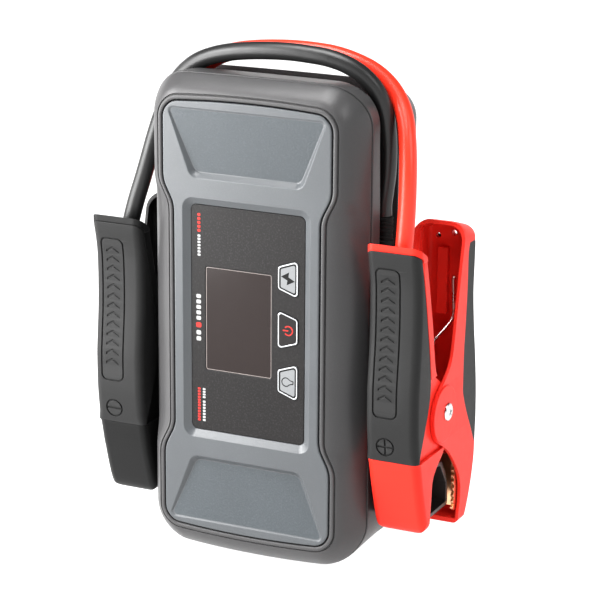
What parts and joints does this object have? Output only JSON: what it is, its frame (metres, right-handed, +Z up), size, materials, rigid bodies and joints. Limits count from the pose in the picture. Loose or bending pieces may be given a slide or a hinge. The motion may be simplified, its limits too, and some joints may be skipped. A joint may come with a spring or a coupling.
{
  "type": "jump starter pack",
  "caption": "Upright portable car jump starter with a display, push keys, two cables over the top and two spring clamps stored on side posts.",
  "frame": {"origin": "on the resting plane under the four feet, midway across the two clamps and midway between the fascia's front and the back of the clamp grips", "axes": "+Z up, +Y from the fascia to the back, +X from the fascia's display side to its key side, the red clamp's side"},
  "size_m": [0.2104, 0.0992, 0.3046],
  "materials": {
    "body_shell": "moulded ABS, fine even grain, satin",
    "fascia": "moulded plastic, fine pebble grain on the two ramped panels",
    "dark_overlay": "smooth semi-gloss moulding",
    "screen": "dark glossy display window",
    "light_key": "light grey satin key cap",
    "inner_plastic": "plain black moulding, hidden",
    "circuit_board": "green solder mask, hidden",
    "cell_pouch": "lithium polymer pouch, hidden",
    "copper": "bright stamped copper",
    "heat_sink": "extruded, hidden",
    "steel": "bright zinc-plated steel",
    "lamp_lens": "clear moulded lens",
    "rubber_black": "soft matte rubber",
    "post_plastic": "dark moulded plastic",
    "grip_rubber": "soft-touch overmoulded grip with fine grain",
    "red_plastic": "glossy red nylon",
    "black_plastic": "glossy black nylon",
    "black_jacket": "smooth glossy cable jacket",
    "red_jacket": "smooth glossy cable jacket"
  },
  "bodies": {
    "pack": {"front_shell": "body_shell", "rear_shell": "body_shell", "fascia_plate": "fascia", "control_overlay": "dark_overlay", "display_window": "screen", "control_board": "circuit_board", "display_module": "inner_plastic", "battery_cell_1": "cell_pouch", "battery_cell_2": "cell_pouch", "battery_cell_3": "cell_pouch", "battery_cell_4": "cell_pouch", "cell_tray": "inner_plastic", "busbar_1": "copper", "busbar_2": "copper", "busbar_3": "copper", "power_board": "circuit_board", "relay": "inner_plastic", "heat_sink": "heat_sink", "lamp_lens": "lamp_lens", "lamp_board": "circuit_board", "port_cover_pin": "steel", "charge_sockets": "steel", "case_screw_1": "steel", "case_screw_2": "steel", "case_screw_3": "steel", "case_screw_4": "steel", "foot_front_right": "rubber_black", "foot_front_left": "rubber_black", "foot_rear_right": "rubber_black", "foot_rear_left": "rubber_black", "cable_gland_right": "rubber_black", "storage_post_right": "post_plastic", "cable_gland_left": "rubber_black", "storage_post_left": "post_plastic", "red_clamp_front_arm": "red_plastic", "red_clamp_front_grip": "grip_rubber", "red_clamp_front_jaw": "copper", "red_clamp_pivot_pin": "steel", "red_clamp_spring": "steel", "red_clamp_cable_lug": "copper", "black_clamp_front_arm": "black_plastic", "black_clamp_front_grip": "grip_rubber", "black_clamp_front_jaw": "copper", "black_clamp_pivot_pin": "steel", "black_clamp_spring": "steel", "black_clamp_cable_lug": "copper", "black_cable": "black_jacket", "red_cable": "red_jacket"},
    "start_key": {"start_button": "light_key"},
    "power_key": {"power_button": "dark_overlay"},
    "light_key": {"light_button": "light_key"},
    "red_clamp_lever": {"red_clamp_rear_arm": "red_plastic", "red_clamp_rear_grip": "grip_rubber", "red_clamp_rear_jaw": "copper"},
    "black_clamp_lever": {"black_clamp_rear_arm": "black_plastic", "black_clamp_rear_grip": "grip_rubber", "black_clamp_rear_jaw": "copper"},
    "port_flap": {"port_cover": "rubber_black"}
  },
  "joints": [
    {"name": "start_press", "type": "slide", "parent": "pack", "child": "start_key", "axis": [0, 1, 0], "range_m": [0, 0.0008], "stiffness_N_per_m": 500, "springref_m": -0.0005},
    {"name": "power_press", "type": "slide", "parent": "pack", "child": "power_key", "axis": [0, 1, 0], "range_m": [0, 0.0008], "stiffness_N_per_m": 500, "springref_m": -0.0005},
    {"name": "light_press", "type": "slide", "parent": "pack", "child": "light_key", "axis": [0, 1, 0], "range_m": [0, 0.0008], "stiffness_N_per_m": 500, "springref_m": -0.0005},
    {"name": "red_clamp_squeeze", "type": "hinge", "parent": "pack", "child": "red_clamp_lever", "pos_m": [0.0873, -0.0001, 0.097], "axis": [1, 0, 0], "range_deg": [0, 20], "stiffness_Nm_per_rad": 4, "springref_deg": -20.05, "deforming": ["red_clamp_spring"]},
    {"name": "black_clamp_squeeze", "type": "hinge", "parent": "pack", "child": "black_clamp_lever", "pos_m": [-0.0873, -0.0001, 0.094], "axis": [1, 0, 0], "range_deg": [0, 20], "stiffness_Nm_per_rad": 4, "springref_deg": -20.05, "deforming": ["black_clamp_spring"]},
    {"name": "port_flap_swing", "type": "hinge", "parent": "pack", "child": "port_flap", "pos_m": [0, 0.042, 0.0605], "axis": [1, 0, 0], "range_deg": [0, 100]}
  ]
}
